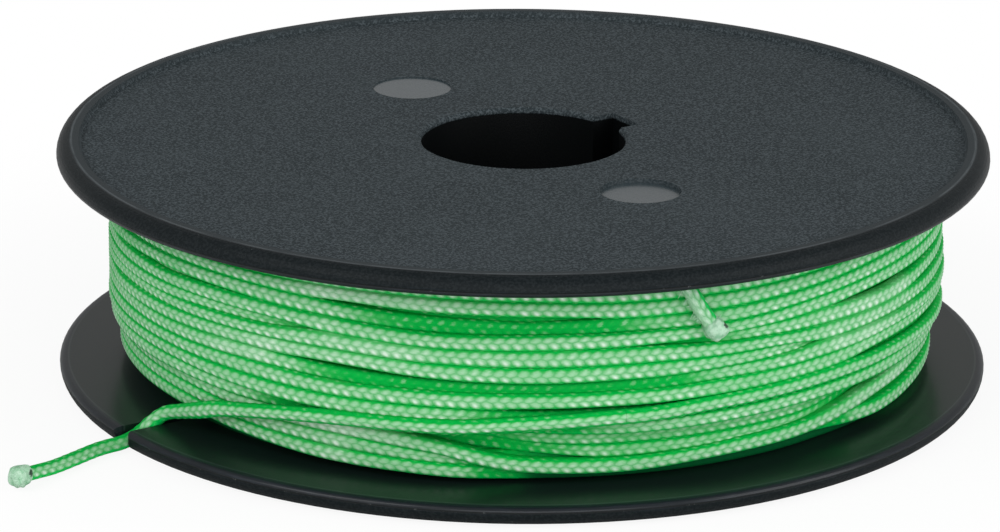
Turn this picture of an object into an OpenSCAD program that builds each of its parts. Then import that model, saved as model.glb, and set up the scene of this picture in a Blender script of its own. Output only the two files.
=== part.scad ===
// Reel of braided fishing line: two moulded halves joined inside the hub, and one
// length of line wound between their flanges. +Z runs up along the bore, +X points
// through the keyway, and the reel lies on the plane z = 0 on the lip of its lower rim.

/* [Flanges] */
// Diameter over the rims
flange_d = 100; // [90:1:125]
// Width of the reel over both rims
reel_w = 26.5; // [22:0.5:36]
// Thickness of each flange between its two faces
web = 1.6; // [1.2:0.1:2.4]
// Height of the lip round the rim above the outer face
lip_h = 0.6; // [0.4:0.1:1.2]
// Width of the flat land on top of the lip
lip_land = 0.8; // [0.5:0.1:1.5]
// Run of the sloping wall from the outer face up to the land
lip_slope = 0.3; // [0.2:0.1:0.8]
// Radius of the rim from the land down to the mould's parting line
rim_round = 1.6; // [1:0.1:1.7]
// Radial run of the easing from the parting line in to the inner face
rim_ease = 0.8; // [0.4:0.1:1.2]

/* [Hub] */
// Diameter of the bore
bore_d = 22; // [18:0.5:26]
// Chamfer at the mouth of the bore
bore_chamfer = 0.3; // [0.1:0.05:0.6]
// Width of the keyway
key_w = 5; // [3:0.5:7]
// Depth of the keyway beyond the bore wall
key_depth = 2.3; // [1.5:0.1:3]
// Wall of the tube round the bore and the keyway
tube_wall = 1.6; // [1.2:0.1:2.2]
// Diameter of the barrel that the line is wound on
barrel_d = 44; // [42:1:60]
// Wall of the barrel
barrel_wall = 1.8; // [1.4:0.1:2.4]
// Thickness of the ribs between the tube and the barrel
rib_t = 1.2; // [0.8:0.1:2]
// How far the ribs stop short of the joint
rib_drop = 1; // [0.5:0.1:3]

/* [Joint between the halves] */
// Height of the spigot on the lower half
spigot_h = 2.5; // [1.5:0.5:4]
// Clearance round the spigot and the pins
fit_gap = 0.1; // [0.05:0.05:0.2]
// Diameter of the locating pins
pin_d = 2.6; // [2:0.1:3]
// Height of the pins above the joint
pin_h = 4; // [3:0.5:5]
// Wall of the bosses round the pins
boss_wall = 1.1; // [0.8:0.1:1.2]

/* [Slot and ejector marks] */
// Width of the slot that holds the end of the line
slot_w = 1.8; // [1.6:0.1:2.4]
// Length of the slot in from the rim
slot_len = 8.5; // [7:0.5:12]
// Radius of the two corners at the mouth of the slot
slot_round = 0.9; // [0.4:0.1:1.4]
// Diameter of the ejector marks
mark_d = 8.6; // [6:0.1:9]
// Distance between the centres of the two marks on a face
mark_span = 44.6; // [40:0.2:60]
// Depth of the mark on the -Y side
mark_deep = 0.45; // [0.2:0.05:0.6]
// Depth of the mark on the +Y side
mark_shallow = 0.15; // [0.05:0.05:0.4]

/* [Line] */
// Diameter of the line
line_d = 1.5; // [1.3:0.05:1.6]
// Least gap between the turns
turn_gap = 0.42; // [0.42:0.02:0.6]
// Bare flange left outside the winding
bare_rim = 5.2; // [4.8:0.1:9]
// How much nearer to the axis the turns by the lower flange lie
edge_drop = 1.1; // [0.4:0.1:1.4]
// Length of the ramp up to the outer layer
ramp_len = 3.4; // [2:0.2:4]
// Diameter of the melted knob on the finishing end
knob_d = 2.3; // [1.8:0.1:2.3]
// Diameter of the melted lump on the starting end
lump_d = 2.2; // [1.8:0.1:2.3]

/* [Hidden] */
$fn = 96;

reel_black = "#2a2e31";
line_green = "#54b567";
melt_pale = "#b4d8bf";

// Overlap that keeps unions and cuts clean
eps = 0.5;

rim_r = flange_d / 2;
inner_z = lip_h + web;
mid_z = reel_w / 2;
bore_r = bore_d / 2;
key_r = bore_r + key_depth;
tube_r = bore_r + tube_wall;
barrel_r = barrel_d / 2;
barrel_in = barrel_r - barrel_wall;
lap_r = barrel_in + barrel_wall / 2;
pin_ring_r = (tube_r + barrel_in) / 2;
rib_angles = [30:60:330];
pin_angles = [60, 180, 300];
arc_steps = 8;

// The outer layer of line
line_r = line_d / 2;
turn_steps = 24;
turn_sides = 6;
tail_sides = 8;
layer_r = rim_r - bare_rim - line_r;
low_r = layer_r - edge_drop;
// The chords of the turns dip inwards, and rest on the core at their middles
dip = cos(180 / turn_steps);
core_r = layer_r * dip - line_r;
lift_r = (low_r + line_d + turn_gap) / dip;
low_z = inner_z + line_r;
high_z = reel_w - inner_z - line_r;
// Where the layer begins under the upper flange, and where it comes down to the lower one
start_a = 249;
low_a = 60;
part_turn = (start_a - low_a) / 360;
turns = floor((high_z - low_z) / (line_d + turn_gap) - part_turn) + part_turn;
pitch = (high_z - low_z) / turns;
// The last stretch climbs on top of the turns, crosses them, and then runs along them
climb_from = -45;
climb_to = 15;
cross_from = 10;
cross_to = 85;

// Route of the tail: distance outside the rim, angle round the reel, height
TAIL_ROUTE = [
    [-4.75, 250, 9.95], [-4.8, 248, 9.9], [-5, 243, 9.65], [-5.15, 236, 9.3],
    [-5.2, 228, 8.8], [-5.2, 220, 8.65], [-5.2, 212, 8.45], [-5.2, 205, 7.95],
    [-5.2, 199, 7.25], [-5.25, 194, 6.5], [-5.2, 191.1, 5.95], [-5.25, 188.6, 5.3],
    [-5.35, 184, 4.15], [-4.85, 181.5, 3.5], [-3.85, 180.2, 2.5], [-2.25, 179.9, 1.35],
    [-0.25, 180.2, 0.85], [1.85, 180.4, 0.8], [3.6, 180.8, 0.8], [6.6, 181.8, 0.78],
    [9.6, 182.7, 0.8], [12, 183.3, 1], [13.8, 183.8, 1.2]
];
// Route of the starting end over the top turns: distance outside the rim, angle,
// and drop below the upper flange
START_ROUTE = [
    [-4.75, 257.6, 1.15], [-4.4, 258.2, 2.1], [-4.35, 259.3, 3.7], [-4.35, 260.6, 5.3]
];
start_exit_a = 257.5;

// How far the starting end stays off the upper flange
end_clear = 0.05;
// How far above the turn it lies on the tail may begin, as a share of the pitch
join_slack = 0.07;
// How deep the ramp stands in the core, and how far its thin end is sunk in it
ramp_root = 2;
ramp_sink = 0.2;
// Angle at which the round part of a melted end begins, below its widest place
swell_from = -30;

function ring_point(r, a, z) = [r * cos(a), r * sin(a), z];
function unit(v) = v / norm(v);
function smooth(t) = let (u = min(max(t, 0), 1)) u * u * (3 - 2 * u);

// Points of an elliptical arc about [x, y], from angle a to angle b
function arc(x, y, rx, ry, a, b) =
    [for (i = [0:arc_steps]) let (t = a + (b - a) * i / arc_steps) [x + rx * cos(t), y + ry * sin(t)]];

// A smooth curve through the points p, with n steps from each to the next
function curve_point(a, b, c, d, t) =
    (2 * b + (c - a) * t + (2 * a - 5 * b + 4 * c - d) * t * t
        + (3 * b - a - 3 * c + d) * t * t * t) / 2;
function curve(p, n) = concat(
    [for (i = [0:len(p) - 2], k = [0:n - 1])
        curve_point(p[max(i - 1, 0)], p[i], p[i + 1], p[min(i + 2, len(p) - 1)], k / n)],
    [p[len(p) - 1]]
);

tail_path = curve([for (p = TAIL_ROUTE) ring_point(rim_r + p[0], p[1], p[2])], 2);
start_path = curve(concat(
    [for (out = [0, line_d]) ring_point(core_r + out, start_exit_a, high_z - end_clear)],
    [for (p = START_ROUTE) ring_point(rim_r + p[0], p[1], reel_w - inner_z - p[2])]
), 2);

// The turn that the tail's first point lies on, and the slope from the low turns to the others
join_u = low_a + 360 - TAIL_ROUTE[0][1];
join_z = TAIL_ROUTE[0][2];
join_turn_z = low_z - pitch * join_u / 360;
under_z = join_turn_z + pitch * ceil((join_z - join_turn_z) / pitch - join_slack);
edge_low = under_z + pitch * (join_u - cross_to) / 360;
edge_high = under_z + pitch;
function turn_r(z) = low_r + edge_drop * smooth((z - edge_low) / (edge_high - edge_low));

// Centre of the outer layer's line, u degrees past the place where it comes down
function layer_point(u) =
    let (
        turn_z = low_z - pitch * min(u, 0) / 360,
        along_z = join_z + pitch * (join_u - u) / 360,
        on_top = smooth((u - climb_from) / (climb_to - climb_from)),
        across = smooth((u - cross_from) / (cross_to - cross_from))
    )
    ring_point(
        turn_r(turn_z) + (lift_r - low_r) * on_top,
        low_a - u,
        turn_z + (along_z - turn_z) * across
    );
layer_start_u = -360 * turns;
layer_steps = ceil((join_u - layer_start_u) * turn_steps / 360);
turn_step = (join_u - layer_start_u) / layer_steps;
start_heading = [sin(start_a), -cos(start_a), 0];
layer_points = concat(
    [layer_point(layer_start_u) - line_d * start_heading],
    [for (i = [0:layer_steps - 1]) layer_point(layer_start_u + i * turn_step)],
    [tail_path[0] - line_d * unit(tail_path[1] - tail_path[0]), tail_path[0]]
);

// Least distance between two stretches of the layer that are at least half a turn apart,
// measured at its points and half way between them
layer_last = len(layer_points) - 1;
layer_halves = [for (i = [0:layer_last - 1]) each [
    layer_points[i],
    (layer_points[i] + layer_points[i + 1]) / 2
]];
layer_gap = min([
    for (i = [0:len(layer_halves) - 1], j = [i + turn_steps:1:len(layer_halves) - 1])
        norm(layer_halves[i] - layer_halves[j])
]) - line_d;
echo(turns = turns, pitch = pitch, least_gap_of_the_layer_to_itself = layer_gap);

// A tube along the route, its first corner towards the side that ref gives
module tube(route, d, sides, ref = [0, 0, 1]) {
    last = len(route) - 1;
    corners = [
        for (i = [0:last])
            let (
                heading = unit(route[min(i + 1, last)] - route[max(i - 1, 0)]),
                side = unit(cross(heading, ref)),
                up = cross(side, heading)
            )
            for (k = [0:sides - 1])
                route[i] + d / 2 * (cos(360 * k / sides) * side + sin(360 * k / sides) * up)
    ];
    walls = [
        for (i = [0:last - 1], k = [0:sides - 1])
            let (a = i * sides + k, b = i * sides + (k + 1) % sides)
            each [[a, b, a + sides], [b, b + sides, a + sides]]
    ];
    first_end = [for (k = [1:sides - 2]) [0, k + 1, k]];
    last_end = [for (k = [1:sides - 2]) [last * sides, last * sides + k, last * sides + k + 1]];
    polyhedron(points = corners, faces = concat(walls, first_end, last_end), convexity = 10);
}

// Section of one flange, from the bore out to the rim, with the lip's land at height 0
module flange_section() {
    land_out = rim_r - rim_round;
    land_in = land_out - lip_land;
    polygon(concat(
        [[bore_r - eps, lip_h], [land_in - lip_slope, lip_h], [land_in, 0]],
        arc(land_out, rim_round, rim_round, rim_round, -90, 0),
        arc(rim_r - rim_ease, rim_round, rim_ease, inner_z - rim_round, 0, 90),
        [[bore_r - eps, inner_z]]
    ));
}

// What both halves share, with the lip's land at height 0 and the joint at mid_z
module half_shell() {
    difference() {
        union() {
            rotate_extrude() flange_section();
            translate([0, 0, inner_z - eps]) {
                wall_h = mid_z - inner_z + eps;
                cylinder(r = tube_r, h = wall_h);
                translate([0, -key_w / 2 - tube_wall, 0])
                    cube([key_r + tube_wall, key_w + 2 * tube_wall, wall_h]);
                difference() {
                    cylinder(r = barrel_r, h = wall_h);
                    translate([0, 0, -eps]) cylinder(r = barrel_in, h = wall_h + 2 * eps);
                }
                for (a = rib_angles)
                    rotate([0, 0, a]) translate([tube_r - eps, -rib_t / 2, 0])
                        cube([barrel_in - tube_r + 2 * eps, rib_t, wall_h - rib_drop]);
                for (a = pin_angles)
                    rotate([0, 0, a]) translate([pin_ring_r, 0, 0])
                        cylinder(d = pin_d + 2 * boss_wall, h = wall_h);
            }
        }
        translate([0, 0, -eps]) cylinder(r = bore_r, h = mid_z + 2 * eps);
        translate([0, 0, lip_h - eps])
            cylinder(r1 = bore_r + bore_chamfer + eps, r2 = bore_r, h = bore_chamfer + eps);
        translate([0, -key_w / 2, -eps]) cube([key_r, key_w, mid_z + 2 * eps]);
    }
}

// Round recesses in the outer face, on the +Y and -Y sides
module ejector_marks(up_side) {
    for (side = [-1, 1]) {
        depth = side == up_side ? mark_shallow : mark_deep;
        translate([0, side * mark_span / 2, lip_h - eps]) cylinder(d = mark_d, h = depth + eps);
    }
}

// Outline of the slot: round at its root, with its mouth opened by two rounded corners
module slot_outline() {
    half_w = slot_w / 2;
    root_x = slot_len - half_w;
    translate([-rim_r, 0]) {
        polygon(concat(
            arc(root_x, 0, half_w, half_w, -90, 90),
            arc(slot_round, half_w + slot_round, slot_round, slot_round, -90, -180),
            [[-eps, half_w + slot_round], [-eps, -half_w - slot_round]],
            arc(slot_round, -half_w - slot_round, slot_round, slot_round, 180, 90)
        ));
    }
}

module lower_half() {
    color(reel_black) {
        difference() {
            union() {
                half_shell();
                difference() {
                    translate([0, 0, mid_z - eps])
                        cylinder(r = lap_r - fit_gap / 2, h = spigot_h + eps);
                    translate([0, 0, mid_z - 2 * eps])
                        cylinder(r = barrel_in, h = spigot_h + 3 * eps);
                }
                for (a = pin_angles)
                    rotate([0, 0, a]) translate([pin_ring_r, 0, mid_z - eps])
                        cylinder(d = pin_d, h = pin_h + eps);
            }
            ejector_marks(up_side = 1);
            translate([0, 0, -eps]) linear_extrude(inner_z + 2 * eps) slot_outline();
        }
    }
}

module upper_half() {
    color(reel_black) {
        translate([0, 0, reel_w]) mirror([0, 0, 1]) {
            difference() {
                half_shell();
                ejector_marks(up_side = 1);
                translate([0, 0, mid_z - spigot_h - fit_gap])
                    difference() {
                        cylinder(r = lap_r + fit_gap / 2, h = spigot_h + 2 * eps);
                        translate([0, 0, -eps])
                            cylinder(r = barrel_in - eps, h = spigot_h + 4 * eps);
                    }
                for (a = pin_angles)
                    rotate([0, 0, -a]) translate([pin_ring_r, 0, mid_z - pin_h - fit_gap])
                        cylinder(d = pin_d + fit_gap, h = pin_h + 2 * eps);
            }
        }
    }
}

// Radius of the core that the turns rest on, also where they step down to the low ones
function core_at(z) = min([
    for (a = [-90:22.5:90]) turn_r(z + line_r * sin(a)) * dip - line_r * cos(a)
]);

// The layers under the outer one, with the short ramp that the line climbs to reach it
module inner_winding() {
    color(line_green) {
        rotate_extrude() polygon(concat(
            [[barrel_r, reel_w - inner_z], [barrel_r, inner_z], [core_at(inner_z), inner_z]],
            [for (i = [0:arc_steps])
                let (z = edge_low - line_r + (edge_high - edge_low + line_d) * i / arc_steps)
                    [core_at(z), z]],
            [[core_r, reel_w - inner_z]]
        ));
        foot = layer_points[0];
        outward = [cos(start_a), sin(start_a)];
        back = -[start_heading[0], start_heading[1]];
        top = [foot[0], foot[1]] + line_r * outward;
        root = [foot[0], foot[1]] - (line_r + ramp_root) * outward;
        translate([0, 0, high_z - line_r]) linear_extrude(line_d)
            polygon([
                top,
                root,
                root + ramp_len * back,
                (core_r - ramp_sink) * unit(top + ramp_len * back),
                (core_r + line_r) * unit(top + ramp_len * back / 2)
            ]);
    }
}

module outer_winding() {
    color(line_green) tube(layer_points, line_d, turn_sides);
}

module line_tail() {
    color(line_green) tube(tail_path, line_d, tail_sides);
}

module start_end() {
    side = [-sin(start_exit_a), cos(start_exit_a), 0];
    color(line_green) tube(start_path, line_d, tail_sides, side);
}

// A melted end of line: it swells from the cord's end face to its full width
module melted_end(d) {
    rotate_extrude() polygon(concat(
        [[0, 0], [line_r, 0]],
        arc(0, d / 2, d / 2, d / 2, swell_from, 90)
    ));
}

// Sets what stands on its base at the end of the route, in line with it
module at_end(route) {
    last = len(route) - 1;
    heading = unit(route[last] - route[last - 1]);
    translate(route[last])
        rotate([0, acos(heading[2]), atan2(heading[1], heading[0])]) children();
}

module tail_seal() {
    color(melt_pale) at_end(tail_path) melted_end(knob_d);
}

module start_seal() {
    color(melt_pale) at_end(start_path) melted_end(lump_d);
}

lower_half();
upper_half();
inner_winding();
outer_winding();
line_tail();
tail_seal();
start_end();
start_seal();
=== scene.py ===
import math

import bmesh
import bpy
import numpy as np
from mathutils import Matrix, Vector


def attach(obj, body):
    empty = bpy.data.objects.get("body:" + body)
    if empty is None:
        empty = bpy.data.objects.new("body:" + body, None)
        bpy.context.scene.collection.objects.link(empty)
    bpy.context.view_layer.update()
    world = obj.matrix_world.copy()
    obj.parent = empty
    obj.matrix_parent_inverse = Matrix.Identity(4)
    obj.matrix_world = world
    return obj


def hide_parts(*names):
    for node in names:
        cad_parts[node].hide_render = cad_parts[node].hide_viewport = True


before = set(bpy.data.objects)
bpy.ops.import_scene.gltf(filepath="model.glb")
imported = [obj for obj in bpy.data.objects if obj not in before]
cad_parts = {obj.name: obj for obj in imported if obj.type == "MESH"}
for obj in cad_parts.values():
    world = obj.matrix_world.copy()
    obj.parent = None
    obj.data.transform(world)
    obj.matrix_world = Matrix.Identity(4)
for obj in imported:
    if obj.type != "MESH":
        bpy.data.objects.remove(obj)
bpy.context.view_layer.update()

MM = 0.001

# The reel, in millimetres, as it was moulded: its rim, the lip round each outer face, its width
# over both lips, the size of the round marks and how far from the axis they are
RIM_R = 50.0
LIP_H = 0.6
REEL_W = 26.5
MARK_R = 4.3
MARK_Y = 22.3
# The parting line is this far in from a flange's outer face, and the rim's rounding this wide
PARTING = 1.6
# The bore, its chamfers and its keyway are all inside this radius
BORE_EDGE = 15.0
# Heights of the flanges' inner faces
LOWER_FACE, UPPER_FACE = 2.2, 24.3

# The line, and where it is wound: the outer layer's radius, how much nearer to the axis its lowest
# turns are, how far in the next layer is, and how far off centre both are
LINE_D = 1.5
OUTER_R = 44.05
EDGE_DROP = 1.1
LAYER_STEP = 1.75
OFF_CENTRE = 0.35
LOWEST, HIGHEST = LOWER_FACE + LINE_D / 2, UPPER_FACE - LINE_D / 2
# The turns start at this angle and go down the reel while the angle falls, in steps of so many
# degrees, and so many steps to a turn
FIRST_ANGLE = 326
TURN_STEP = 0.5
PER_TURN = int(360 / TURN_STEP)
# The braid: strands round it, length of one pick, slant of a pick, height of its crown
BRAID_STRANDS = 8
PICK = 1.22
SLANT = 0.28
CROWN = 0.06
# Sides of a braided cord, and steps along it from each point of its route to the next
CORD_SIDES = 16
ROUTE_STEPS = 8

# The camera and the lamps are turned round the reel by this
VIEW_TURN = math.radians(-33.4)


# ---------------------------------------------------------------- scene and camera

def put_in_scene(name, data):
    thing = bpy.data.objects.new(name, data)
    bpy.context.scene.collection.objects.link(thing)
    return thing


def set_up_camera():
    pitch, yaw, roll = 0.3183, -0.0039, 0.0059
    place = Vector((0, -619.44, 215.49)) * MM
    ahead = Vector((
        math.sin(yaw) * math.cos(pitch), math.cos(yaw) * math.cos(pitch), -math.sin(pitch)))
    level = Vector((math.cos(yaw), -math.sin(yaw), 0))
    above = level.cross(ahead)
    right = math.cos(roll) * level + math.sin(roll) * above
    up = -math.sin(roll) * level + math.cos(roll) * above
    stand = Matrix((right, up, -ahead)).transposed().to_4x4()
    stand.translation = place
    data = bpy.data.cameras.new("camera")
    data.sensor_width, data.lens = 36, 217.35
    data.clip_start, data.clip_end = 0.05, 10
    camera = put_in_scene("camera", data)
    camera.matrix_world = Matrix.Rotation(VIEW_TURN, 4, "Z") @ stand
    bpy.context.scene.camera = camera


# ---------------------------------------------------------------- node trees

class Link:
    """An output in a node tree. Python's operators on it add Math nodes."""

    def __init__(self, tree, socket):
        self.tree, self.socket = tree, socket

    def __add__(self, other):
        return self.tree.maths("ADD", self, other)

    def __sub__(self, other):
        return self.tree.maths("SUBTRACT", self, other)

    def __rsub__(self, other):
        return self.tree.maths("SUBTRACT", other, self)

    def __mul__(self, other):
        return self.tree.maths("MULTIPLY", self, other)

    def __truediv__(self, other):
        return self.tree.maths("DIVIDE", self, other)

    def __pow__(self, other):
        return self.tree.maths("POWER", self, other)

    def __mod__(self, other):
        return self.tree.maths("FLOORED_MODULO", self, other)

    def __gt__(self, other):
        return self.tree.maths("GREATER_THAN", self, other)

    def __neg__(self):
        return self * -1

    def __abs__(self):
        return self.tree.maths("ABSOLUTE", self)

    __radd__ = __add__
    __rmul__ = __mul__


class Tree:
    """A node tree that starts empty and is written as expressions."""

    def __init__(self, tree):
        self.tree = tree
        tree.nodes.clear()

    def plug(self, socket, value):
        if isinstance(value, Link):
            self.tree.links.new(value.socket, socket)
        elif socket.type == "RGBA":
            socket.default_value = (*value, 1)
        else:
            socket.default_value = value

    def node(self, kind, settings=None, sockets=None, out=0):
        """Adds a node: its settings first, then its sockets' values or links."""
        node = self.tree.nodes.new(kind)
        for name, value in (settings or {}).items():
            setattr(node, name, value)
        for name, value in (sockets or {}).items():
            self.plug(node.inputs[name], value)
        if len(node.outputs):
            return Link(self, node.outputs[out])

    def maths(self, operation, *values):
        return self.node("ShaderNodeMath", {"operation": operation}, dict(enumerate(values)))

    def vector(self, operation, *values, out=0):
        return self.node(
            "ShaderNodeVectorMath", {"operation": operation}, dict(enumerate(values)), out)

    def join(self, x, y, z):
        return self.node("ShaderNodeCombineXYZ", None, {"X": x, "Y": y, "Z": z})

    def split(self, vector):
        first = self.node("ShaderNodeSeparateXYZ", None, {0: vector})
        return [Link(self, socket) for socket in first.socket.node.outputs]

    def ramp(self, value, low, high):
        """0 up to low, 1 from high on, and a smooth rise between them."""
        return self.node(
            "ShaderNodeMapRange", {"interpolation_type": "SMOOTHSTEP", "clamp": True},
            {"Value": value, "From Min": low, "From Max": high})

    def noise(self, vector, scale, detail, rough=0.5):
        return self.node(
            "ShaderNodeTexNoise", None,
            {"Vector": vector, "Scale": scale, "Detail": detail, "Roughness": rough})

    def braid(self, along, around):
        """Where a spot of braid lies: its strand and its pick, and how far across and along the
        pick it is, each from -0.5 to 0.5. The picks of every other strand slant the other way."""
        x, y, _ = self.split(around)
        strand_at = self.maths("ARCTAN2", y, x) * (BRAID_STRANDS / math.tau)
        strand = self.maths("FLOOR", strand_at)
        across = strand_at - strand - 0.5
        odd = strand % 2
        pick_at = along / PICK + odd * 0.5 + across * (1 - 2 * odd) * SLANT
        pick = self.maths("FLOOR", pick_at + 0.5)
        return strand, pick, across, pick_at - pick

    def crown(self, across, lengthwise):
        """Height of a pick's crown, 0 to 1. It swells in the middle, where its neighbours end."""
        return (self.maths("COSINE", lengthwise * math.tau) * 0.5 + 0.5) * (
            self.maths("COSINE", across * math.pi) ** 0.7)

    def net(self, across, lengthwise):
        """0 in the lines between the picks, 1 on top of them. The lines along the cord zigzag."""
        zigzag, side_line, end_line = 0.13, 0.2, 0.13
        edge = 0.5 + self.maths("COSINE", lengthwise * math.tau) * zigzag - abs(across)
        sides = self.ramp(abs(edge), 0.0, side_line)
        own = edge > 0.0
        ends = 1 - own * (1 - self.ramp(0.5 - abs(lengthwise), 0.0, end_line))
        return sides * ends


class Finish(Tree):
    """A material on one Principled shader."""

    def __init__(self, name, **fixed):
        self.material = bpy.data.materials.new(name)
        self.material.use_nodes = True
        super().__init__(self.material.node_tree)
        self.shader = self.node("ShaderNodeBsdfPrincipled", None, fixed)
        self.node("ShaderNodeOutputMaterial", None, {"Surface": self.shader})

    def feed(self, **links):
        for name, link in links.items():
            self.plug(self.shader.socket.node.inputs[name.replace("_", " ")], link)
        return self.material

    def blend(self, amount, first, second):
        """The first colour, with so much of the second over it."""
        return self.node(
            "ShaderNodeMix", {"data_type": "RGBA"}, {0: amount, 6: first, 7: second}, 2)

    def millimetres(self):
        """Object coordinates, in millimetres."""
        place = self.node("ShaderNodeTexCoord", out="Object")
        return self.vector("MULTIPLY", place, (1000, 1000, 1000))

    def attribute(self, name, out):
        return self.node("ShaderNodeAttribute", {"attribute_name": name}, None, out)

    def bump(self, height, distance_mm, strength):
        return self.node(
            "ShaderNodeBump", None,
            {"Height": height, "Distance": distance_mm * MM, "Strength": strength})


# ---------------------------------------------------------------- finishes

def braided_green(name, crown_colour, open_colour, side_glow_colour, frayed=0.0):
    """Green braid: where it has wear it is pale, most of all on the crowns of its picks. A frayed
    cord is paler still, along the side that its fibres come loose on. Painted light is in it too:
    a brighter green on its sides that stands in for light through the line, painted highlights on
    the crowns of its lower side, and painted shade between its picks and deep in its gaps."""
    dye = Finish(name, **{"Specular IOR Level": 0.06})
    along, around = dye.attribute("along", "Fac"), dye.attribute("around", "Vector")
    worn = dye.attribute("worn", "Fac")
    out, up, _ = dye.split(around)
    strand, pick, across, lengthwise = dye.braid(along, around)
    net, crown = dye.net(across, lengthwise), dye.crown(across, lengthwise)

    # What differs from pick to pick, from place to place and from fibre to fibre
    place = dye.millimetres()
    each = dye.node(
        "ShaderNodeTexWhiteNoise", None, {"Vector": dye.join(strand, pick, 0.0)}, "Value")
    drift = dye.noise(place, 0.22, 3.0)
    patches = dye.ramp(dye.noise(place, 0.11, 2.0), 0.38, 0.6)
    fibre_place = dye.join(along * 1.2 + across * 0.9, across * 9 + strand * 3.1, lengthwise)
    fibres = dye.noise(fibre_place, 2.2, 3.0, 0.6)
    frizz = fibres - 0.5

    # Rubbed bare along the outside of the cord, with painted highlights on the crowns of its lower
    # side, which faces the low light, and painted shade in the lines between its picks
    wear = worn + (drift - 0.5) * 0.5
    rubbed = out - up * 0.04 + (crown - 0.5) * 0.2 + frizz * 0.3
    bare = dye.ramp(rubbed, 0.62, 0.97) * dye.ramp(wear, 0.1, 0.75)
    low = dye.ramp(out * 0.89 - up * 0.45, 0.55, 0.98)
    spot = crown ** 2.4 * (each * 0.6 + 0.4) * (low * 0.9 + 0.1) * (patches * 0.6 + 0.4)
    lit = bare * (0.37 - (1 - net) * (low * 0.1 + 0.04) + frizz * 0.36 + spot * 0.86)

    # Flecks beside the bare strip, fuzz where the wear is greatest, and the frayed side's fibres
    fleck = dye.ramp(crown * (each * 0.7 + 0.3) + frizz * 1.9, 0.35, 0.95)
    fleck = fleck * dye.ramp(wear, -0.5, 0.3) * dye.ramp(out, 0.2, 0.6) * (1 - bare) * 0.34
    fuzz = dye.ramp(wear, 1.05, 1.5) * (fibres * 0.5 + 0.1)
    loose = dye.ramp(up + frizz * 1.6, 0.0, 0.7) * (fibres * 0.8 + 0.3) * frayed
    pale = dye.node("ShaderNodeClamp", None, {"Value": lit + fleck + fuzz + loose})

    # The dye, with painted light on it: a brighter green on the side that stands in for light
    # through the line, painted shade in the lines between the picks, nearly black deep in a gap
    deep = dye.blend(dye.ramp(out + up, -0.1, 0.6), side_glow_colour, open_colour)
    deep = dye.blend((1 - net) * 0.25, deep, (0.0, 0.26, 0.04))
    deep = dye.blend(dye.ramp(-worn, 0.0, 1.0), deep, (0.0, 0.08, 0.02))
    return dye.feed(
        Base_Color=dye.blend(pale, deep, crown_colour),
        Roughness=0.62 - pale * 0.2,
        Normal=dye.bump(fibres * 0.6 + net * 0.4, 0.05, 0.6),
    )


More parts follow.
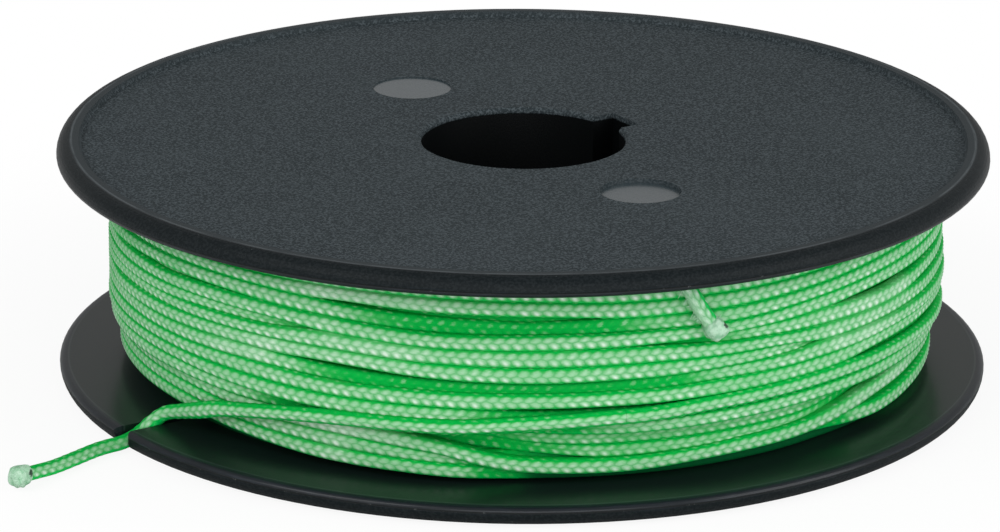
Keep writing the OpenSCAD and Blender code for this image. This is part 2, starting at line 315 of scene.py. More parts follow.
def moulded_black():
    """Black moulding: fine spark texture on the outer faces, smooth rims and insides."""
    dye = Finish("moulded_black", **{"Specular IOR Level": 0.12, "Coat Roughness": 0.22})
    half_w, seam_z, round_r = REEL_W / 2, REEL_W / 2 - PARTING, RIM_R - PARTING
    place = dye.millimetres()
    x, y, z = dye.split(place)
    out_r = dye.vector("LENGTH", dye.join(x, y, 0.0), out="Value")
    off_mid = abs(z - half_w)

    # Where the outer faces, the marks, the bore, the rims' sides and the insides are
    outer = dye.ramp(off_mid, half_w - LIP_H - 0.65, half_w - LIP_H - 0.5)
    face = outer * (1 - dye.ramp(out_r, round_r - 1.1, round_r - 0.7))
    mark_off = dye.vector("LENGTH", dye.join(x, abs(y) - MARK_Y, 0.0), out="Value")
    mark = outer * (1 - dye.ramp(mark_off, MARK_R - 0.1, MARK_R + 0.05))
    texture = face * (1 - mark)
    bore = 1 - dye.ramp(out_r, BORE_EDGE, BORE_EDGE + 1)
    past_seam = dye.ramp(off_mid, seam_z - 0.1, seam_z + 0.1)
    side = dye.ramp(out_r, round_r, round_r + 0.35) * past_seam
    inner = 1 - past_seam

    # The edges: where the outer face ends, where the inner face meets the rim, the parting line,
    # and the band round the parting line. The light lines and bluish sheen on them are painted
    # highlights
    land_edge_highlight = outer * (1 - dye.ramp(abs(out_r - (round_r + 0.02)), 0.05, 0.2))
    brow = inner * dye.ramp(out_r, RIM_R - 0.95, RIM_R - 0.8)
    brow_edge_highlight = inner * (1 - dye.ramp(abs(out_r - (RIM_R - 0.95)), 0.04, 0.14))
    seam_off = abs(off_mid - seam_z)
    on_rim = dye.ramp(out_r, RIM_R - 0.4, RIM_R - 0.1)
    seam = (1 - dye.ramp(seam_off, 0.03, 0.12)) * on_rim
    seam_sheen = (1 - dye.ramp(seam_off, 0.1, 0.4)) * on_rim

    # The mould's texture, and what use has left on it: clouds, specks, dust and nicks, and streaks
    # that break up the painted highlights and sheen
    grain = dye.noise(place, 3.6, 2.0, 0.6)
    grains = dye.ramp(grain, 0.45, 0.6)
    coarse = dye.noise(place, 0.9, 3.0, 0.6)
    fine = dye.noise(place, 4.5, 3.0, 0.6)
    cloud = dye.ramp(dye.noise(place, 0.06, 3.0, 0.55), 0.4, 0.65)
    speck = dye.ramp(dye.noise(place, 1.7, 5.0, 0.7), 0.72, 0.78)
    dust = dye.ramp(dye.noise(place, 2.6, 2.0, 0.5), 0.76, 0.8)
    nick = seam * dye.ramp(dye.noise(place, 1.6, 4.0, 0.7), 0.62, 0.72)
    streak_place = dye.join(dye.maths("ARCTAN2", y, x) * 12, out_r * 3, z * 3)
    streaks = dye.noise(streak_place, 1.0, 4.0, 0.6)

    base = (0.0042, 0.0090, 0.0085)
    for amount, colour in (
        (outer, (0.0170, 0.0240, 0.0272)),
        # Painted shade: the rims' sides are darker than the rest
        (side, (0.0026, 0.0054, 0.0066)),
        # Painted highlight: a streaky light line where the outer face ends
        (land_edge_highlight * dye.ramp(streaks, 0.3, 0.6) * 0.6, (0.085, 0.098, 0.105)),
        # Painted bluish sheen on the rounding where the inner face meets the rim, with streaks of
        # it there and round the parting line
        (brow, (0.0040, 0.0068, 0.0098)),
        (dye.ramp(streaks, 0.45, 0.75) * (brow + seam_sheen) * 0.6, (0.013, 0.018, 0.025)),
        # Painted highlight: a light line along the edge of that rounding
        (brow_edge_highlight * 0.55, (0.034, 0.042, 0.046)),
        # Painted shade: the inside of the bore is nearly black
        (bore * (1 - outer), (0.0006, 0.0012, 0.0014)),
        (mark, (0.023, 0.037, 0.044)),
        (cloud * face * 0.3, (0.030, 0.040, 0.044)),
        (grains * texture * 0.85, (0.062, 0.077, 0.085)),
        (grains * side * 0.5, (0.013, 0.017, 0.019)),
        (speck * texture * 0.3, (0.07, 0.08, 0.085)),
        (dust * side * 0.6, (0.10, 0.12, 0.12)),
        (seam * 0.7, (0.002, 0.003, 0.003)),
        (nick * 0.45, (0.16, 0.17, 0.17)),
    ):
        base = dye.blend(amount, base, colour)
    height = (grain * texture + coarse * texture * 0.4 + fine * (1 - texture) * 0.3
              + grain * side * 0.4 - seam * 0.7)
    return dye.feed(
        Base_Color=base,
        Roughness=0.5 + texture * 0.2 + (grain - 0.5) * texture * 0.2 + nick * 0.3,
        Coat_Weight=mark * 0.9 + inner * (1 - bore) * 0.33,
        Normal=dye.bump(height, 0.06, 1.0),
    )


def melted_line(burns):
    """Line that was melted shut: pale and half glassy, with green showing in the hollows, and burnt
    in a small nick at each of the given places."""
    dye = Finish("melted_line", **{"Coat Weight": 0.25, "Coat Roughness": 0.25})
    place = dye.millimetres()
    lumps = dye.noise(place, 1.1, 3.0, 0.6)
    fine = dye.noise(place, 5.0, 3.0, 0.6)
    colour = dye.blend(dye.ramp(lumps, 0.35, 0.62), (0.20, 0.45, 0.26), (0.41, 0.63, 0.46))
    for burn in burns:
        off = dye.vector("LENGTH", dye.vector("SUBTRACT", place, tuple(burn)), out="Value")
        burnt = 1 - dye.ramp(off + (fine - 0.5) * 0.5, 0.26, 0.46)
        colour = dye.blend(burnt, colour, (0.012, 0.04, 0.02))
    return dye.feed(
        Base_Color=colour,
        Roughness=0.35 + fine * 0.25,
        Normal=dye.bump(lumps + fine * 0.8, 0.15, 0.8),
    )


# ---------------------------------------------------------------- curves

def smooth(t):
    """0 up to t = 0, 1 from t = 1 on, and a smooth rise between them."""
    t = np.clip(t, 0, 1)
    return t * t * (3 - 2 * t)


def bell(x, middle, width):
    return np.exp(-((x - middle) / width) ** 2)


def blur(values, half):
    """Mean over a window along the line."""
    kernel = np.hanning(2 * half + 3)[1:-1]
    kernel /= kernel.sum()
    return np.convolve(np.pad(values, half, mode="edge"), kernel, mode="valid")


def through(points, steps):
    """A smooth curve through the points, with so many steps from each to the next."""
    p = np.vstack([points[:1], points, points[-1:]])
    t = np.arange(steps)[:, None] / steps
    parts = []
    for a, b, c, d in zip(p[:-3], p[1:-2], p[2:-1], p[3:]):
        parts.append((2 * b + (c - a) * t + (2 * a - 5 * b + 4 * c - d) * t ** 2
                      + (3 * b - a - 3 * c + d) * t ** 3) / 2)
    return np.vstack([*parts, p[-1:]])


def spread(u, knots, values):
    """A smooth curve in u through the knots that doesn't overshoot them."""
    knots, values = np.asarray(knots, float), np.asarray(values, float)
    step = np.diff(knots)
    rise = np.diff(values) / step
    slope = np.zeros(len(knots))
    same = rise[:-1] * rise[1:] > 0
    w1, w2 = 2 * step[1:] + step[:-1], step[1:] + 2 * step[:-1]
    with np.errstate(divide="ignore", invalid="ignore"):
        slope[1:-1] = np.where(same, (w1 + w2) / (w1 / rise[:-1] + w2 / rise[1:]), 0)
    i = np.clip(np.searchsorted(knots, u) - 1, 0, len(step) - 1)
    t = (u - knots[i]) / step[i]
    return (values[i] * (1 + 2 * t) * (1 - t) ** 2 + step[i] * slope[i] * t * (1 - t) ** 2
            + values[i + 1] * t * t * (3 - 2 * t) + step[i] * slope[i + 1] * t * t * (t - 1))


def ring_point(r, a, z):
    """Points in millimetres from radius, angle in degrees and height."""
    a = np.radians(a)
    return np.stack(np.broadcast_arrays(r * np.cos(a), r * np.sin(a), z), -1)


def lengths_along(path):
    return np.concatenate([[0], np.cumsum(np.linalg.norm(np.diff(path, axis=0), axis=1))])


def away_from_axis(path):
    """At each point of the path, the direction straight out from the reel's axis."""
    away = path * [1, 1, 0]
    return away / np.linalg.norm(away, axis=1)[:, None]


# ---------------------------------------------------------------- braid

def build_braid_tree():
    """Geometry Nodes: a braid along a line of points, with the crown of every pick raised."""
    group = bpy.data.node_groups.new("braid_a_cord", "GeometryNodeTree")
    for name, kind in (("Line", "Geometry"), ("Ring step", "Float"), ("Sides", "Int"),
                       ("Crown height", "Float"), ("Finish", "Material")):
        group.interface.new_socket(name, in_out="INPUT", socket_type="NodeSocket" + kind)
    group.interface.new_socket("Cord", in_out="OUTPUT", socket_type="NodeSocketGeometry")
    tree = Tree(group)
    given = group.nodes.new("NodeGroupInput")
    line, step, sides, height, finish = [Link(tree, s) for s in given.outputs[:5]]

    def keep(geometry, name, vector):
        return tree.node(
            "GeometryNodeStoreNamedAttribute", {"data_type": "FLOAT_VECTOR", "domain": "POINT"},
            {"Geometry": geometry, "Name": name, "Value": vector})

    def number(name):
        return tree.node("GeometryNodeInputNamedAttribute", {"data_type": "FLOAT"}, {"Name": name})

    def arrow(name):
        return tree.node(
            "GeometryNodeInputNamedAttribute", {"data_type": "FLOAT_VECTOR"}, {"Name": name})

    def scaled(vector, amount):
        return tree.node(
            "ShaderNodeVectorMath", {"operation": "SCALE"}, {0: vector, "Scale": amount})

    curve = tree.node("GeometryNodeMeshToCurve", None, {"Mesh": line})
    curve = tree.node(
        "GeometryNodeResampleCurve", {"mode": "LENGTH"}, {"Curve": curve, "Length": step})
    heading = tree.node("GeometryNodeInputTangent")
    aside = tree.vector("NORMALIZE", tree.vector("CROSS_PRODUCT", heading, arrow("outward")))
    curve = keep(curve, "aside", aside)
    curve = keep(curve, "lift", tree.vector("CROSS_PRODUCT", arrow("aside"), heading))
    curve = keep(curve, "centre", tree.node("GeometryNodeInputPosition"))
    ring = tree.node("GeometryNodeCurvePrimitiveCircle", {"mode": "RADIUS"},
                     {"Resolution": sides, "Radius": 1.0})
    ring = keep(ring, "around", tree.node("GeometryNodeInputPosition"))
    tube = tree.node(
        "GeometryNodeCurveToMesh", None, {"Curve": curve, "Profile Curve": ring, "Fill Caps": True})

    # Each point goes out from the middle of the cord by its size there, and by the pick's crown
    around = arrow("around")
    _, _, across, lengthwise = tree.braid(number("along"), around)
    raised = tree.crown(across, lengthwise) * height
    x, y, _ = tree.split(around)
    corner = (((x * x) ** 3 + (y * y) ** 3) ** (-1 / 6) - 1) * number("pressed") + 1
    below = number("below")
    wide = below + (number("above") - below) * (y > 0)
    out = scaled(arrow("lift"), x * corner * (number("thick") + raised))
    side = scaled(arrow("aside"), y * corner * (wide + raised))
    spot = tree.vector("ADD", arrow("centre"), tree.vector("ADD", out, side))
    tube = tree.node("GeometryNodeSetPosition", None, {"Geometry": tube, "Position": spot})
    for name in ("aside", "lift", "centre", "outward", "thick", "above", "below", "pressed"):
        tube = tree.node("GeometryNodeRemoveAttribute", None, {"Geometry": tube, "Name": name})
    tube = tree.node("GeometryNodeSetMaterial", None, {"Geometry": tube, "Material": finish})
    group.links.new(tube.socket, group.nodes.new("NodeGroupOutput").inputs[0])
    return group


def write_on_points(mesh, **fields):
    """Gives the mesh's points named numbers, or vectors where a field has three columns."""
    for name, values in fields.items():
        values = np.asarray(values, np.float32)
        kind, key = ("FLOAT", "value") if values.ndim == 1 else ("FLOAT_VECTOR", "vector")
        mesh.attributes.new(name, kind, "POINT").data.foreach_set(key, values.ravel())


def braid_along(name, path, outward, along, thick, wide, worn, pressed, finish, ring_step=0.2):
    """A piece of braid along the path, in millimetres. Thick and wide are half its size, and wide
    may have two columns, for above and below the middle. Its wear is from 0 to 1, and below 0 it
    is painted shade, which darkens it in a deep gap. Pressed is from 0, a round cord, to 1, one
    that its neighbours have pressed nearly square."""
    count = len(path)
    above, below = np.broadcast_to(wide.T, (2, count))
    mesh = bpy.data.meshes.new(name + "_line")
    mesh.from_pydata((path * MM).tolist(), [(i, i + 1) for i in range(count - 1)], [])
    write_on_points(mesh, outward=outward, along=along, thick=thick * MM,
                    above=above * MM, below=below * MM, worn=worn, pressed=pressed)
    source = put_in_scene(name + "_line", mesh)
    braiding = source.modifiers.new("braid", "NODES")
    braiding.node_group = BRAID_TREE
    values = {"Ring step": ring_step * MM, "Sides": CORD_SIDES, "Crown height": CROWN * MM,
              "Finish": finish}
    for item in BRAID_TREE.interface.items_tree:
        if item.in_out == "INPUT" and item.name in values:
            braiding[item.identifier] = values[item.name]
    look = bpy.context.evaluated_depsgraph_get()
    made = bpy.data.meshes.new_from_object(source.evaluated_get(look), depsgraph=look)
    bpy.data.objects.remove(source)
    made.name = name
    # The caps at its ends stay flat, and everything between them is shaded smooth
    corners = np.zeros(len(made.polygons), np.int32)
    made.polygons.foreach_get("loop_total", corners)
    made.polygons.foreach_set("use_smooth", corners == 4)
    return put_in_scene(name, made)


# ---------------------------------------------------------------- both ends of the line

# Route of the tail: distance outside the rim, angle round the reel, height
TAIL_ROUTE = [
    (-4.75, 250, 9.95), (-4.8, 248, 9.9), (-5, 243, 9.65), (-5.15, 236, 9.3),
    (-5.2, 228, 8.8), (-5.2, 220, 8.65), (-5.2, 212, 8.45), (-5.2, 205, 7.95),
    (-5.2, 199, 7.25), (-5.25, 194, 6.5), (-5.2, 191.1, 5.95), (-5.25, 188.6, 5.3),
    (-5.35, 184, 4.15), (-4.85, 181.5, 3.5), (-3.85, 180.2, 2.5), (-2.25, 179.9, 1.35),
    (-0.25, 180.2, 0.85), (1.85, 180.4, 0.8), (3.6, 180.8, 0.8), (6.6, 181.8, 0.78),
    (9.6, 182.7, 0.8), (12, 183.3, 1), (13.8, 183.8, 1.2),
]
# How far along it the tail is folded into the slot, and where it twists on its way to the knob
TAIL_FOLD, TAIL_TWIST = 47.5, 56
# Angle at which the starting end comes out under the upper flange, and its route from there:
# distance outside the rim, angle, drop below the flange
START_ROOT = 258.1
START_ROUTE = [
    (-4.75, 258.2, 1.15), (-4.4, 258.9, 2.1), (-4.35, 260.0, 3.65), (-4.35, 261.3, 5.1),
]


def lay_tail():
    """The free end of the line, from where it leaves the turns, through the slot, to its knob."""
    corners = np.array([ring_point(RIM_R + out, a, z) for out, a, z in TAIL_ROUTE])
    path = through(corners, ROUTE_STEPS)
    along = lengths_along(path)
    # Its bared side faces out from the reel, then up where it lies off the turns
    off = smooth((np.hypot(path[:, 0], path[:, 1]) - 44.9) / 3.2)
    outward = away_from_axis(path) * (1 - off)[:, None] + np.array([0, -0.55, 0.8]) * off[:, None]
    outward += np.array([0, -0.45, -0.4]) * smooth((along - TAIL_TWIST) / 5)[:, None]
    fold = bell(along, TAIL_FOLD, 4)
    thick, wide = LINE_D / 2 * (1 - 0.22 * fold), LINE_D / 2 * (1 + 0.2 * fold)
    worn = 0.95 - 0.45 * off * smooth((72 - along) / 8)
    piece = braid_along("line_tail_braid", path, outward, along, thick, wide, worn,
                        np.zeros(len(path)), TURN_FINISH)
    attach(piece, "root")
    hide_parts("line_tail")
    return piece, path


def lay_starting_end():
    """The short end that comes out under the upper flange and lies down over the top turns."""
    root = [ring_point(OUTER_R - LINE_D / 2 + out, START_ROOT, HIGHEST - 0.05)
            for out in (0, LINE_D)]
    rest = [ring_point(RIM_R + out, a, UPPER_FACE - drop) for out, a, drop in START_ROUTE]
    path = through(np.array(root + rest), ROUTE_STEPS)
    along = lengths_along(path)
    lying = smooth(along / 3)[:, None]
    outward = np.array([0, 0, 1.0]) * (1 - lying) + away_from_axis(path) * lying
    flat = 0.08 * smooth(along / 4)
    piece = braid_along("starting_end_braid", path, outward, along, LINE_D / 2 - flat,
                        LINE_D / 2 + flat, np.ones(len(path)), np.zeros(len(path)), FRAYED_FINISH)
    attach(piece, "root")
    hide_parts("start_end")
    return path


def melt_end(name, path, width, reach, seed, node, melted):
    """A melted end of line: a lumpy knob that swells from the cord's end face."""
    heading = path[-1] - path[-2]
    heading /= np.linalg.norm(heading)
    side = np.cross(heading, [0, 0, 1.0])
    side /= np.linalg.norm(side)
    up = np.cross(side, heading)
    # A few wide bumps and many small ones, each in its own direction: how many, their least and
    # greatest height, and how sharp they are
    rng = np.random.default_rng(seed)
    bumps = []
    for count, least, most, sharp in ((9, -0.10, 0.16, 6), (60, -0.09, 0.1, 60)):
        ways = rng.normal(size=(count, 3))
        ways /= np.linalg.norm(ways, axis=1)[:, None]
        bumps.append((ways, rng.uniform(least, most, count), sharp))
    shape = bmesh.new()
    bmesh.ops.create_icosphere(shape, subdivisions=5, radius=1)
    for v in shape.verts:
        n = np.array(v.co)
        swell = 1
        for ways, heights, sharp in bumps:
            swell += float(np.sum(heights * np.exp(sharp * (ways @ n - 1))))
        square = 1 / max(abs(n[0]) ** 4 + abs(n[1]) ** 4 + abs(n[2]) ** 4, 1e-6) ** 0.25
        size = swell * (0.35 + 0.65 * square)
        spot = (path[-1] + heading * (n[2] * reach / 2 * size + reach * 0.36)
                + side * n[0] * width / 2 * size + up * n[1] * width / 2 * size)
        v.co = Vector(spot * MM)
    bmesh.ops.recalc_face_normals(shape, faces=shape.faces)
    mesh = bpy.data.meshes.new(name)
    shape.to_mesh(mesh)
    shape.free()
    mesh.shade_smooth()
    mesh.materials.append(melted)
    piece = put_in_scene(name, mesh)
    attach(piece, "root")
    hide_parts(node)
    return piece


def fray_the_end(path, melted):
    """Loose fibres that stand off the starting end and its lump. Most are on the same side."""
    rng = np.random.default_rng(5)
    fibres, rings, sides = 34, 6, 5
    points, faces = [], []
    for _ in range(fibres):
        share = rng.uniform(0.35, 1.0)
        on_lump = share >= 0.9
        k = int(share * (len(path) - 1))
        radial = path[k] * [1, 1, 0] / np.hypot(*path[k][:2])
        around = np.array([-radial[1], radial[0], 0])
        side = rng.choice([-1, 1]) if on_lump else rng.choice([-1, 1], p=[0.75, 0.25])
        reach = 1.1 if on_lump else 0.8
        root = path[k] + around * side * reach + radial * rng.uniform(-0.1, 0.35)
        aim = (around * side * rng.uniform(0.2, 1) + [0, 0, rng.uniform(-1, 0.8)]
               + radial * rng.uniform(0, 0.4))
        aim /= np.linalg.norm(aim)
        bend = np.array([0, 0, rng.uniform(-0.5, 0.2)]) + around * rng.uniform(-0.4, 0.4)
        long = rng.uniform(0.4, 1.0)
        across = np.cross(aim, radial)
        across /= np.linalg.norm(across)
        first = len(points)
        for t in np.linspace(0, 1, rings):
            middle = root + aim * long * t + bend * t * t * 0.4
            r = 0.06 * (1 - 0.7 * t)
            for a in np.arange(sides) * math.tau / sides:
                points.append(middle + (across * math.cos(a) + radial * math.sin(a)) * r)
        for j in range(rings - 1):
            for i in range(sides):
                a, b = first + j * sides + i, first + j * sides + (i + 1) % sides
                faces.append((a, b, b + sides, a + sides))
        faces.append([first + i for i in reversed(range(sides))])
        faces.append([first + (rings - 1) * sides + i for i in range(sides)])
    mesh = bpy.data.meshes.new("loose_fibres")
    mesh.from_pydata([tuple(p * MM) for p in points], [], faces)
    mesh.materials.append(melted)
    piece = put_in_scene("loose_fibres", mesh)
    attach(piece, "root")
    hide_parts("start_end")


# ---------------------------------------------------------------- turns

# Heights of the outer turns at these angles, from the right round the front to the left,
# one row for each turn, from the top down. A second number is how deep the turn has sunk.
STATIONS = [326, 310, 295, 280, 265, 250, 238, 225, 210, 195, 180, 165, 150]
OUTER_TURNS = [
    [23.5, 23.5, 23.3, 22.9, 22.7, 22.75, 23.1, 23.1, 22.9, 22.6, 22.3, 22.0, 21.8],
    [21.9, 22.0, 22.0, 21.4, 21.05, 21.1, 21.4, 21.5, 21.7, 21.7, 21.2, 20.8, 20.5],
    [20.5, 20.6, 20.4, 19.8, 19.3, (19.3, .6), (19.2, 1), (19.3, .8), (19.7, .3),
     20.2, 20.3, 19.9, 19.4],
    [18.7, 19.0, 19.0, 18.8, 18.1, 18.05, 17.9, 17.7, 18.2, 18.3, 17.8, 17.5, 17.3],
    [17.0, 17.0, 16.6, 16.9, (16.8, .5), (16.7, 1.2), (16.6, 1.2), (16.7, 1.2), (16.9, .8),
     (17.1, .3), 16.8, 16.5, 16.2],
    [14.9, 14.9, 14.9, 15.1, 16.0, 16.2, 16.15, 16.2, 16.5, 16.2, 15.8, 15.5, 15.2],
    [(13.9, .6), (13.8, .7), (13.9, .8), (14.3, .5), 14.5, 14.4, 14.25, 14.4, 14.9,
     14.85, 14.7, 14.4, 14.1],
    [12.9, 13.2, 13.5, 13.7, (13.3, .3), (12.7, 1), (12.6, 1.1), (12.6, 1), (12.8, .7),
     13.3, 12.9, 12.8, 12.6],
    [12.0, 12.4, 12.5, 11.9, 11.85, 11.7, 11.6, 11.5, 11.5, 11.7, 11.5, 11.2, 11.0],
    [(10.0, 1), (10.0, 1), (10.0, 1), (9.9, 1), (9.8, 1), (9.6, 1), (9.6, .8), (9.8, .2), 9.75,
     10.0, 10.25, 10.0, 9.7],
    [8.3, 8.3, 8.7, 8.8, 8.6, (8.5, .3), (8.3, 1), (8.1, 1), (8.2, 1), (8.6, .4), 9.2, 9.1, 8.9],
    [6.7, 6.6, 6.2, 5.0, 4.7, 4.1, 4.3, 5.8, 6.9, 7.1, 7.7, 7.7, 7.5],
    [4.4, 4.2, 3.9, (4.3, 1.3), (4.4, 1.5), (4.5, 1.6), (4.6, 1.5), (4.9, .3), 5.5,
     5.8, 6.3, 6.3, 6.2],
    [(3.1, .9), (3, 1.1), (3, 1.6), (3, 2.1), (3, 2.2), (3, 2.2), (3.2, 1.6), (3.6, .1), 3.8,
     4.5, 5.1, 5.2, 5.1],
]
# The top turn comes out under the upper flange at this angle
TOP_START = 295
# After the last turn the line climbs on top at the back and crosses up to the tail: angle, height,
# and how deep it is, which is below 0 where it lies on the turns
CROSSING = [
    (100, 4.2, 0), (75, 3.6, 0), (50, 3.4, -.7), (28, 4.2, -1.5), (5, 5.9, -1.5),
    (-17, 7.6, -1.5), (-34, 8.8, -1.5), (-50, 9.75, -1.5), (-65, 10.2, -1.5), (-80, 10.25, -1.45),
    (-95, 10.1, -1.4), (-110, 9.95, -1.22),
]
# The under layer: its lowest turn and spacing, and where a turn of it is raised or moved:
# its number, the angles between which it is, its height there, and how far it has risen
UNDER_LOW, UNDER_STEP, UNDER_TURNS = 3.0, 1.62, 13
RAISED = [
    (0, 236, 300, 3.0, -1.5), (1, 236, 284, 4.6, -1.5),
    (1, 285, 330, 5.3, 0.6), (2, 240, 284, 5.6, 1.1), (3, 234, 286, 6.95, 1.0),
    (5, 286, 330, 11.3, 0.3), (10, 155, 205, 19.3, 1.1), (10, 215, 252, 20.0, 0.2),
    (7, 160, 200, 13.8, 0.9),
]


def turn_radius(z):
    """Radius of the outer layer's turns: those by the lower flange lie nearer to the axis."""
    return OUTER_R - EDGE_DROP + EDGE_DROP * smooth((z - 7.2) / 2.2)


def wear_turns(rng, u, z):
    """How much wear the outer turns have, which drifts along the line: more in one small patch, and
    at its end as much as the tail. They are also made paler at both sides of the front."""
    drift = blur(rng.normal(size=len(u)), 110)
    angle = (FIRST_ANGLE - u) % 360
    use = np.minimum(0.8 + 0.2 * drift / drift.std(), 1.05)
    use += 0.34 * bell(angle, 210, 18) + 0.3 * bell(angle, 292, 16) * smooth((19 - z) / 4)
    use += (0.95 - use) * smooth((u - u[-1] + 120) / 90)
    return use + 0.3 * np.exp(-((angle - 288) / 4.5) ** 2 - ((z - 12.4) / 1.4) ** 2)


def plan_outer_turns(rng):
    """Where the outer layer is meant to lie all along the line, as height and radius at each step,
    how much wear and painted shade it has, and how pressed it is there."""
    rows = [[item if isinstance(item, tuple) else (item, 0) for item in row] for row in OUTER_TURNS]
    last = len(rows) - 1
    knots, heights, sunk = [], [], []

    def pin(turn, angle, height, depth):
        knots.append(360 * turn + FIRST_ANGLE - angle)
        heights.append(height)
        sunk.append(depth)

    for k, row in enumerate(rows):
        for angle, (height, depth) in zip(STATIONS, row):
            if k or angle <= TOP_START:
                pin(k, angle, height, depth)
        if k < last:
            # Round the back, on the way to the next turn
            after = rows[k + 1][0][0]
            for share, angle in ((0.35, 95), (0.65, 30)):
                height = heights[-1] * (1 - share) + after * share + rng.uniform(-0.12, 0.12)
                pin(k, angle, height, 0)
    for angle, height, depth in CROSSING:
        pin(last, angle, height, depth)
    u = np.arange(knots[0], knots[-1] + TURN_STEP / 2, TURN_STEP)
    z, depth = spread(u, knots, heights), spread(u, knots, sunk)
    off_centre = OFF_CENTRE * np.cos(np.radians(u)) * smooth((knots[-1] - 60 - u) / 60)
    in_layer_r, crossing_r = turn_radius(z) + off_centre - depth, OUTER_R - EDGE_DROP - depth
    return {
        "u": u, "z": z,
        "r": np.where(depth < -0.2, crossing_r, in_layer_r),
        # Sunk turns have less wear, which also stands in for the shade they lie in, and past 1.2 mm
        # deep the value falls below 0, which is painted shade
        "worn": (wear_turns(rng, u, z) * (1 - smooth(depth / 0.9))
                 - smooth((depth - 1.2) / 0.6)),
        "pressed": 1 - smooth(-depth / 0.7),
    }


def plan_under_turns(rng):
    """The same for the layer under it, which shows through the gaps."""
    u = np.arange(0, 360 * UNDER_TURNS, TURN_STEP)
    wander = blur(rng.normal(size=len(u)), 60)
    wander *= 0.12 / wander.std()
    z = UNDER_LOW + UNDER_STEP * u / 360 + wander
    lift = np.zeros(len(u))
    angle = (FIRST_ANGLE - u) % 360
    number = np.floor(u / 360)
    for turn, low, high, height, rise in RAISED:
        inside = smooth((angle - low + 8) / 16) * smooth((high + 8 - angle) / 16) * (number == turn)
        z += (height - z) * inside
        lift += rise * inside
    lift = blur(lift, 12)
    return {
        "u": u, "z": z,
        "r": turn_radius(z) - LAYER_STEP + lift + OFF_CENTRE * np.cos(np.radians(u)),
        # Raised turns have wear, and near the lower flange the value falls below 0, which is
        # painted shade
        "worn": 0.7 * smooth(lift / 1.6) - smooth((4.9 - z) / 1.2),
        "pressed": np.ones(len(u)),
    }


def room_beside(z, r):
    """How far it is from each turn up and down to the next one in its layer."""
    far = 9.0
    room = {"above": np.full_like(z, far), "below": np.full_like(z, far)}
    for i in range(len(z)):
        for j in range(len(z)):
            if i != j:
                gap = np.where(np.abs(r[j] - r[i]) < LINE_D / 2, z[j] - z[i], np.nan)
                for side, way in (("above", 1), ("below", -1)):
                    free = np.where(gap * way > 0.3, gap * way, far)
                    room[side][i] = np.minimum(room[side][i], free)
    return room


def settle_turns(outer, under):
    """Lets the turns press each other aside until no two are in the same place, and gives each the
    width and thickness that its neighbours leave it."""
    # Both layers in one grid: a row for each turn, a column for each step round the reel
    spans, rows = [], 0
    for layer in (outer, under):
        first, count = int(round(layer["u"][0] / TURN_STEP)), len(layer["u"])
        spans.append((rows * PER_TURN + first, count))
        rows += -(-(first + count) // PER_TURN)
    z, r = np.full((rows, PER_TURN), np.nan), np.full((rows, PER_TURN), np.nan)
    for (start, count), layer in zip(spans, (outer, under)):
        z.ravel()[start:start + count] = layer["z"]
        r.ravel()[start:start + count] = layer["r"]
    meant_z, meant_r = z.copy(), r.copy()
    apart, sweeps = LINE_D * 0.87, 70
    for _ in range(sweeps):
        move_z, move_r = np.zeros_like(z), np.zeros_like(r)
        for i in range(rows):
            for j in range(i + 1, rows):
                dz, dr = z[j] - z[i], r[j] - r[i]
                gap = np.hypot(dz, dr)
                press = np.where(gap < apart, (apart - gap) / np.maximum(gap, 0.05) * 0.5, 0)
                press = np.nan_to_num(press)
                push_z, push_r = press * np.nan_to_num(dz), press * np.nan_to_num(dr)
                move_z[i] -= push_z
                move_z[j] += push_z
                move_r[i] -= push_r * 0.8
                move_r[j] += push_r * 0.8
        # Pushed apart, drawn back to where they were meant to be, and smoothed along the line
        z += 0.7 * move_z + 0.13 * (meant_z - z)
        r += 0.7 * move_r + 0.1 * (meant_r - r)
        for start, count in spans:
            for field in (z, r):
                part = field.ravel()[start:start + count]
                ends = part[:3].copy(), part[-3:].copy()
                part[:] = blur(part, 3)
                part[:3], part[-3:] = ends
        z = np.clip(z, LOWEST, HIGHEST)
    room = room_beside(z, r)
    for (start, count), layer in zip(spans, (outer, under)):
        layer["z"] = z.ravel()[start:start + count].copy()
        layer["r"] = r.ravel()[start:start + count].copy()
        wide = []
        for side in ("above", "below"):
            free = room[side].ravel()[start:start + count]
            touching = smooth((2.0 - free) / 0.15)
            half = np.clip(free / 2 + 0.02, 0.62, 0.93) * touching + LINE_D / 2 * (1 - touching)
            wide.append(blur(half, 8))
        layer["wide"] = np.stack(wide, 1)
        layer["thick"] = np.clip(LINE_D ** 2 / 4 / layer["wide"].mean(1), 0.63, 0.8)


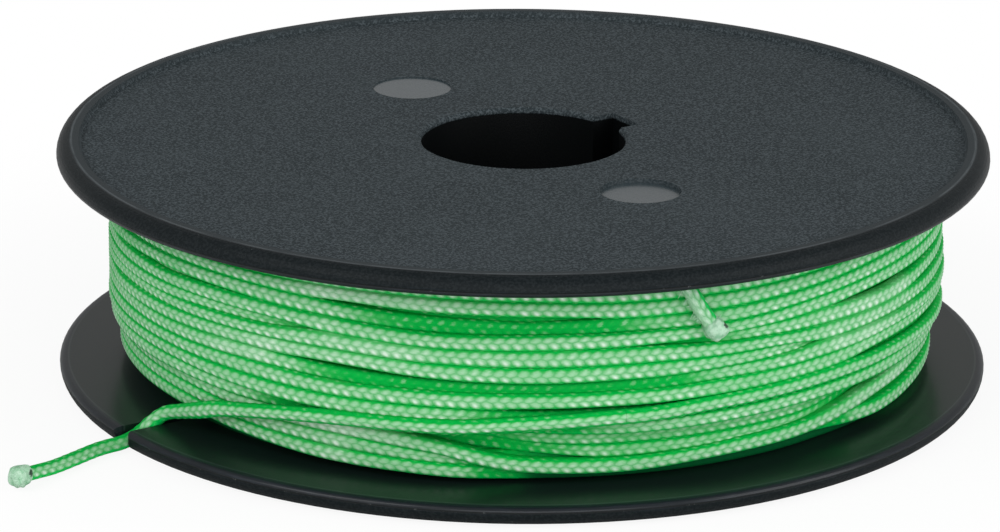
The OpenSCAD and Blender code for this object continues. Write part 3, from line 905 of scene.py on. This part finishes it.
def wind_turns():
    """Both layers of turns, as pieces of a few turns each."""
    rng = np.random.default_rng(11)
    outer, under = plan_outer_turns(rng), plan_under_turns(rng)
    settle_turns(outer, under)
    # The last turn goes over into the tail, and is round by then
    short_of_end = outer["u"] - outer["u"][-1]
    ease, rounded = smooth((short_of_end + 14) / 14), smooth((short_of_end + 30) / 30)
    outer["r"] += (RIM_R + TAIL_ROUTE[0][0] - outer["r"]) * ease
    outer["z"] += (TAIL_ROUTE[0][2] - outer["z"]) * ease
    outer["wide"] += (LINE_D / 2 - outer["wide"]) * rounded[:, None]
    outer["thick"] += (LINE_D / 2 - outer["thick"]) * rounded
    for layer, label, node, per_piece, ring_step in (
        (outer, "outer_turns", "outer_winding", 4, 0.2),
        (under, "under_turns", "inner_winding", 6, 0.3),
    ):
        a = FIRST_ANGLE - layer["u"]
        path = ring_point(layer["r"], a, layer["z"])
        outward = ring_point(1.0, a, 0.0)
        along = lengths_along(path)
        if layer is outer:
            along -= along[-1]  # so that the picks run on into the tail's
        chunk = per_piece * PER_TURN
        for n, start in enumerate(range(0, len(path) - 1, chunk)):
            part = slice(start, min(start + chunk + 1, len(path)))
            piece = braid_along(f"{label}_{n + 1}", path[part], outward[part], along[part],
                                layer["thick"][part], layer["wide"][part], layer["worn"][part],
                                layer["pressed"][part], TURN_FINISH, ring_step)
            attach(piece, "root")
            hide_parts(node)


def pack_core():
    """The buried layers, as one ring of line that the under layer is pressed into."""
    low, high, inside_r, around_r, steps = 2.25, 24.25, 22.0, 42, 240
    heights = np.linspace(low, high, 111)
    waves = np.cos(heights / UNDER_STEP * math.tau)
    outside_r = turn_radius(heights) - LAYER_STEP - 0.25 + 0.12 * waves
    outside = np.stack([outside_r, heights], 1)
    profile = np.concatenate([[(inside_r, low)], outside, [(inside_r, high)]])
    angles = np.arange(steps) * 360 / steps
    points = np.concatenate([ring_point(profile[:, 0], a, profile[:, 1]) for a in angles])
    n = len(profile)
    faces = []
    for i in range(steps):
        here, there = i * n, (i + 1) % steps * n
        faces += [(here + k, there + k, there + (k + 1) % n, here + (k + 1) % n) for k in range(n)]
    mesh = bpy.data.meshes.new("buried_line")
    mesh.from_pydata((points * MM).tolist(), [], faces)
    mesh.shade_smooth()
    z = points[:, 2]
    turn = z / UNDER_STEP * math.tau
    # Near the lower flange its wear value falls below 0, which is painted shade
    write_on_points(mesh, along=np.radians(np.repeat(angles, n)) * around_r,
                    around=np.stack([np.cos(turn), np.sin(turn), np.zeros(len(z))], 1),
                    worn=-smooth((4.6 - z) / 1.2))
    mesh.materials.append(TURN_FINISH)
    piece = put_in_scene("buried_line", mesh)
    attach(piece, "root")
    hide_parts("inner_winding")


# ---------------------------------------------------------------- table and light

def set_table():
    """White table: plain white far from the reel, and with part of its shadow close to it."""
    reach, drop = 3.0, 0.0002
    corners = [(x * reach, y * reach, 0) for x, y in ((-1, -1), (1, -1), (1, 1), (-1, 1))]
    mesh = bpy.data.meshes.new("table")
    mesh.from_pydata(corners, [], [(0, 1, 2, 3)])
    table = put_in_scene("table", mesh)
    table.location.z = -drop
    material = bpy.data.materials.new("white_table")
    material.use_nodes = True
    paint = Tree(material.node_tree)
    x, y, _ = paint.split(paint.node("ShaderNodeTexCoord", out="Object"))
    away = paint.vector("LENGTH", paint.join(x, y, 0.0), out="Value")
    rays = paint.node("ShaderNodeLightPath", out="Is Camera Ray")
    seen = rays
    for kind in ("Is Glossy Ray", "Is Transmission Ray"):
        seen = paint.maths("MAXIMUM", seen, Link(paint, rays.socket.node.outputs[kind]))
    shade = rays * 0.25 + 0.7
    plain = paint.node("ShaderNodeBsdfDiffuse", None, {"Color": paint.join(shade, shade, shade)})
    glow = paint.node("ShaderNodeEmission", None, {"Color": (1.0, 1.0, 1.0), "Strength": 1.0})
    near = rays * 0.9
    amount = seen * (near + (1 - near) * paint.ramp(away, 0.055, 0.11))
    surface = paint.node("ShaderNodeMixShader", None, {0: amount, 1: plain, 2: glow})
    paint.node("ShaderNodeOutputMaterial", None, {"Surface": surface})
    mesh.materials.append(material)


def light_scene():
    bpy.context.scene.view_settings.view_transform = "Standard"
    middle = Vector((0, 0, 0.013))
    world = bpy.data.worlds.new("studio")
    bpy.context.scene.world = world
    world.use_nodes = True
    sky = Tree(world.node_tree)
    rays = sky.node("ShaderNodeLightPath", out="Is Camera Ray")
    seen = sky.maths("MAXIMUM", rays, Link(sky, rays.socket.node.outputs["Is Transmission Ray"]))
    strength = 0.5 + seen * 0.5
    back = sky.node("ShaderNodeBackground", None, {"Color": (1.0, 1.0, 1.0), "Strength": strength})
    sky.node("ShaderNodeOutputWorld", None, {"Surface": back})
    for name, place, size, power in (
        ("key", (-0.75, -0.6, 0.75), 0.7, 5.5),
        ("front", (0.1, -1.15, 0.28), 0.9, 7.0),
        ("right", (0.85, -0.35, 0.4), 0.7, 4.6),
    ):
        data = bpy.data.lights.new(name, "AREA")
        data.size, data.energy = size, power
        lamp = put_in_scene(name, data)
        spot = Matrix.Rotation(VIEW_TURN, 3, "Z") @ Vector(place)
        lamp.location = spot
        lamp.rotation_mode = "QUATERNION"
        lamp.rotation_quaternion = (middle - spot).to_track_quat("-Z", "Y")


# ---------------------------------------------------------------- making

set_up_camera()
BRAID_TREE = build_braid_tree()
TURN_FINISH = braided_green(
    "braided_green", (0.61, 0.77, 0.63), (0.0, 0.38, 0.05), (0.0, 0.56, 0.088))
FRAYED_FINISH = braided_green(
    "frayed_green", (0.64, 0.80, 0.68), (0.0, 0.36, 0.045), (0.0, 0.5, 0.08), frayed=0.65)
tail, tail_path = lay_tail()
start_path = lay_starting_end()
knob_burn = tail_path[-1] + [0.14, -1.08, 0.52]
lump_burn = start_path[-1] + [1.2, -0.95, -0.2]
melted = melted_line([knob_burn, lump_burn])
knob = melt_end("melted_knob", tail_path, 2.15, 2.15, 3, "tail_seal", melted)
melt_end("melted_lump", start_path, 2.25, 2.5, 8, "start_seal", melted)
fray_the_end(start_path, melted)
wind_turns()
pack_core()
black = moulded_black()
for name in ("lower_half", "upper_half"):
    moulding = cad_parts[name]
    for place in moulding.material_slots:
        place.material = black
set_table()
light_scene()
